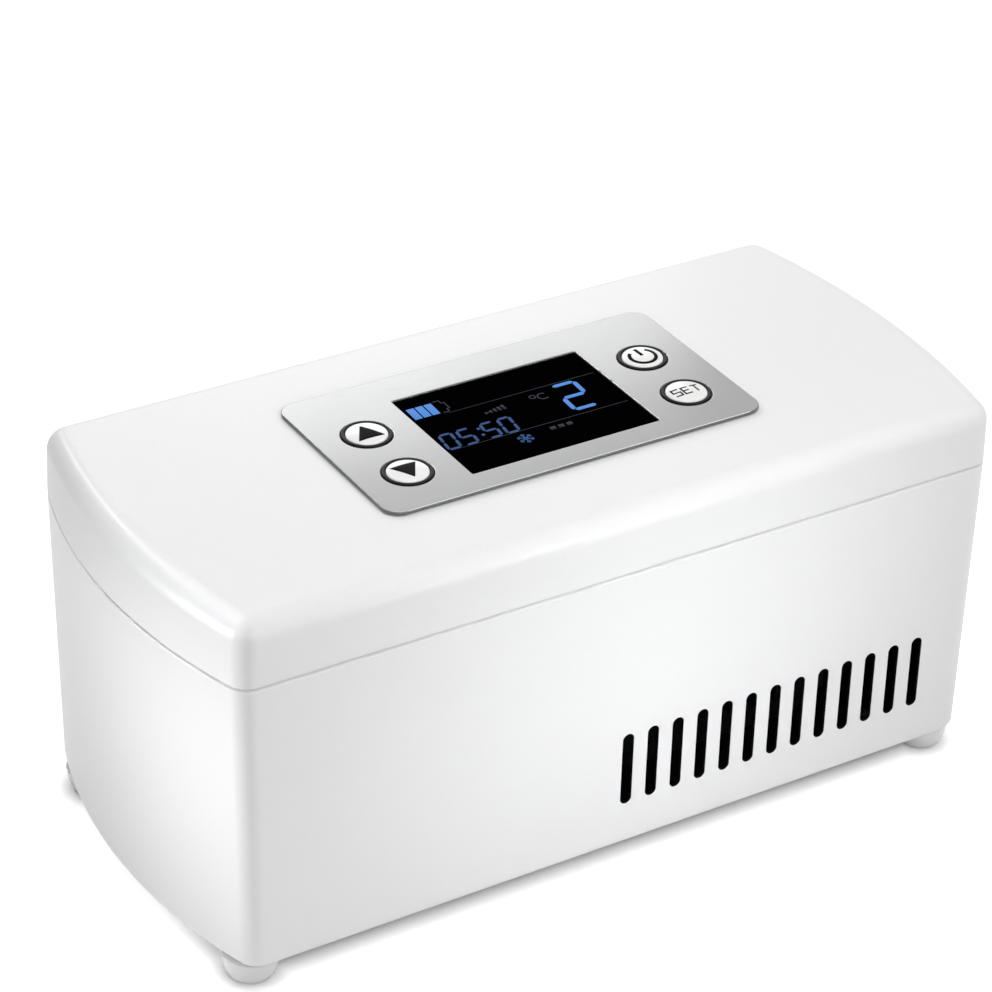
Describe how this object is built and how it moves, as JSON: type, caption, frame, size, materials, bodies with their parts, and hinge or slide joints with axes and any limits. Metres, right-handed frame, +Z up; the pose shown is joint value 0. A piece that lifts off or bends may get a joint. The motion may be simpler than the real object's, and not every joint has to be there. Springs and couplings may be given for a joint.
{
  "type": "insulin cooling case",
  "caption": "Portable thermoelectric cooling case with a hinged lid, a display and round keys on a raised panel, air slots, bumper feet and an insulated metal chamber.",
  "frame": {"origin": "on the floor, under the middle of the bounding box", "axes": "+X to the right along the case, +Y to the hinge at the back, +Z up"},
  "size_m": [0.203, 0.0988, 0.0948],
  "materials": {
    "white_shell": "satin",
    "white_inner": "matte",
    "clear_rubber": "gloss",
    "steel": "satin",
    "aluminium": "satin",
    "foam": "matte",
    "seal_rubber": "matte",
    "black_plastic": "satin",
    "bezel_black": "satin",
    "ceramic": "matte",
    "cell_sleeve": "satin",
    "circuit_board": "satin",
    "red_lead": "satin",
    "grey_lead": "satin",
    "silver_panel": "satin",
    "dark_window": "gloss",
    "white_cap": "gloss"
  },
  "bodies": {
    "base": {"lower_housing": "white_shell", "bottom_cover": "white_inner", "rim_deck": "white_inner", "foot_front_left": "clear_rubber", "foot_front_right": "clear_rubber", "foot_rear_left": "clear_rubber", "foot_rear_right": "clear_rubber", "cover_screw_front_left": "steel", "cover_screw_front_right": "steel", "cover_screw_rear_left": "steel", "cover_screw_rear_right": "steel", "catch_magnet": "steel", "hinge_pin_left": "steel", "hinge_pin_right": "steel", "chamber_liner": "aluminium", "cold_block": "aluminium", "heat_sink": "aluminium", "base_insulation": "foam", "chamber_seal": "seal_rubber", "fan_frame": "black_plastic", "battery_holder": "black_plastic", "dc_socket": "black_plastic", "temperature_sensor": "black_plastic", "peltier_module": "ceramic", "battery_cell_1": "cell_sleeve", "battery_cell_2": "cell_sleeve", "main_board": "circuit_board", "wiring_harness": "red_lead", "display_lead_base": "grey_lead"},
    "lid": {"lid_shell": "white_shell", "lid_liner": "white_inner", "lid_insulation": "foam", "catch_strike": "steel", "control_panel": "silver_panel", "display_window": "dark_window", "display_module": "black_plastic", "control_board": "circuit_board", "display_lead_lid": "grey_lead", "lid_screw_front_left": "steel", "lid_screw_front_right": "steel", "lid_screw_rear_left": "steel", "lid_screw_rear_right": "steel", "button_bezel_up": "bezel_black", "button_bezel_down": "bezel_black", "button_bezel_power": "bezel_black", "button_bezel_set": "bezel_black", "switch_up": "black_plastic", "switch_down": "black_plastic", "switch_power": "black_plastic", "switch_set": "black_plastic"},
    "fan": {"fan_rotor": "black_plastic"},
    "key_up": {"button_up": "white_cap", "switch_plunger_up": "red_lead"},
    "key_down": {"button_down": "white_cap", "switch_plunger_down": "red_lead"},
    "key_power": {"button_power": "white_cap", "switch_plunger_power": "red_lead"},
    "key_set": {"button_set": "white_cap", "switch_plunger_set": "red_lead"}
  },
  "joints": [
    {"name": "lid_hinge", "type": "hinge", "parent": "base", "child": "lid", "pos_m": [0, 0.04665, 0.0778], "axis": [-1, 0, 0], "range_deg": [0, 105]},
    {"name": "fan_spin", "type": "hinge", "parent": "base", "child": "fan", "pos_m": [0.0394, -0.00295, 0.0137], "axis": [0, 0, 1], "continuous": true},
    {"name": "key_up_press", "type": "slide", "parent": "lid", "child": "key_up", "axis": [0, 0, -1], "range_m": [0, 0.0005], "stiffness_N_per_m": 400},
    {"name": "key_down_press", "type": "slide", "parent": "lid", "child": "key_down", "axis": [0, 0, -1], "range_m": [0, 0.0005], "stiffness_N_per_m": 400},
    {"name": "key_power_press", "type": "slide", "parent": "lid", "child": "key_power", "axis": [0, 0, -1], "range_m": [0, 0.0005], "stiffness_N_per_m": 400},
    {"name": "key_set_press", "type": "slide", "parent": "lid", "child": "key_set", "axis": [0, 0, -1], "range_m": [0, 0.0005], "stiffness_N_per_m": 400}
  ]
}
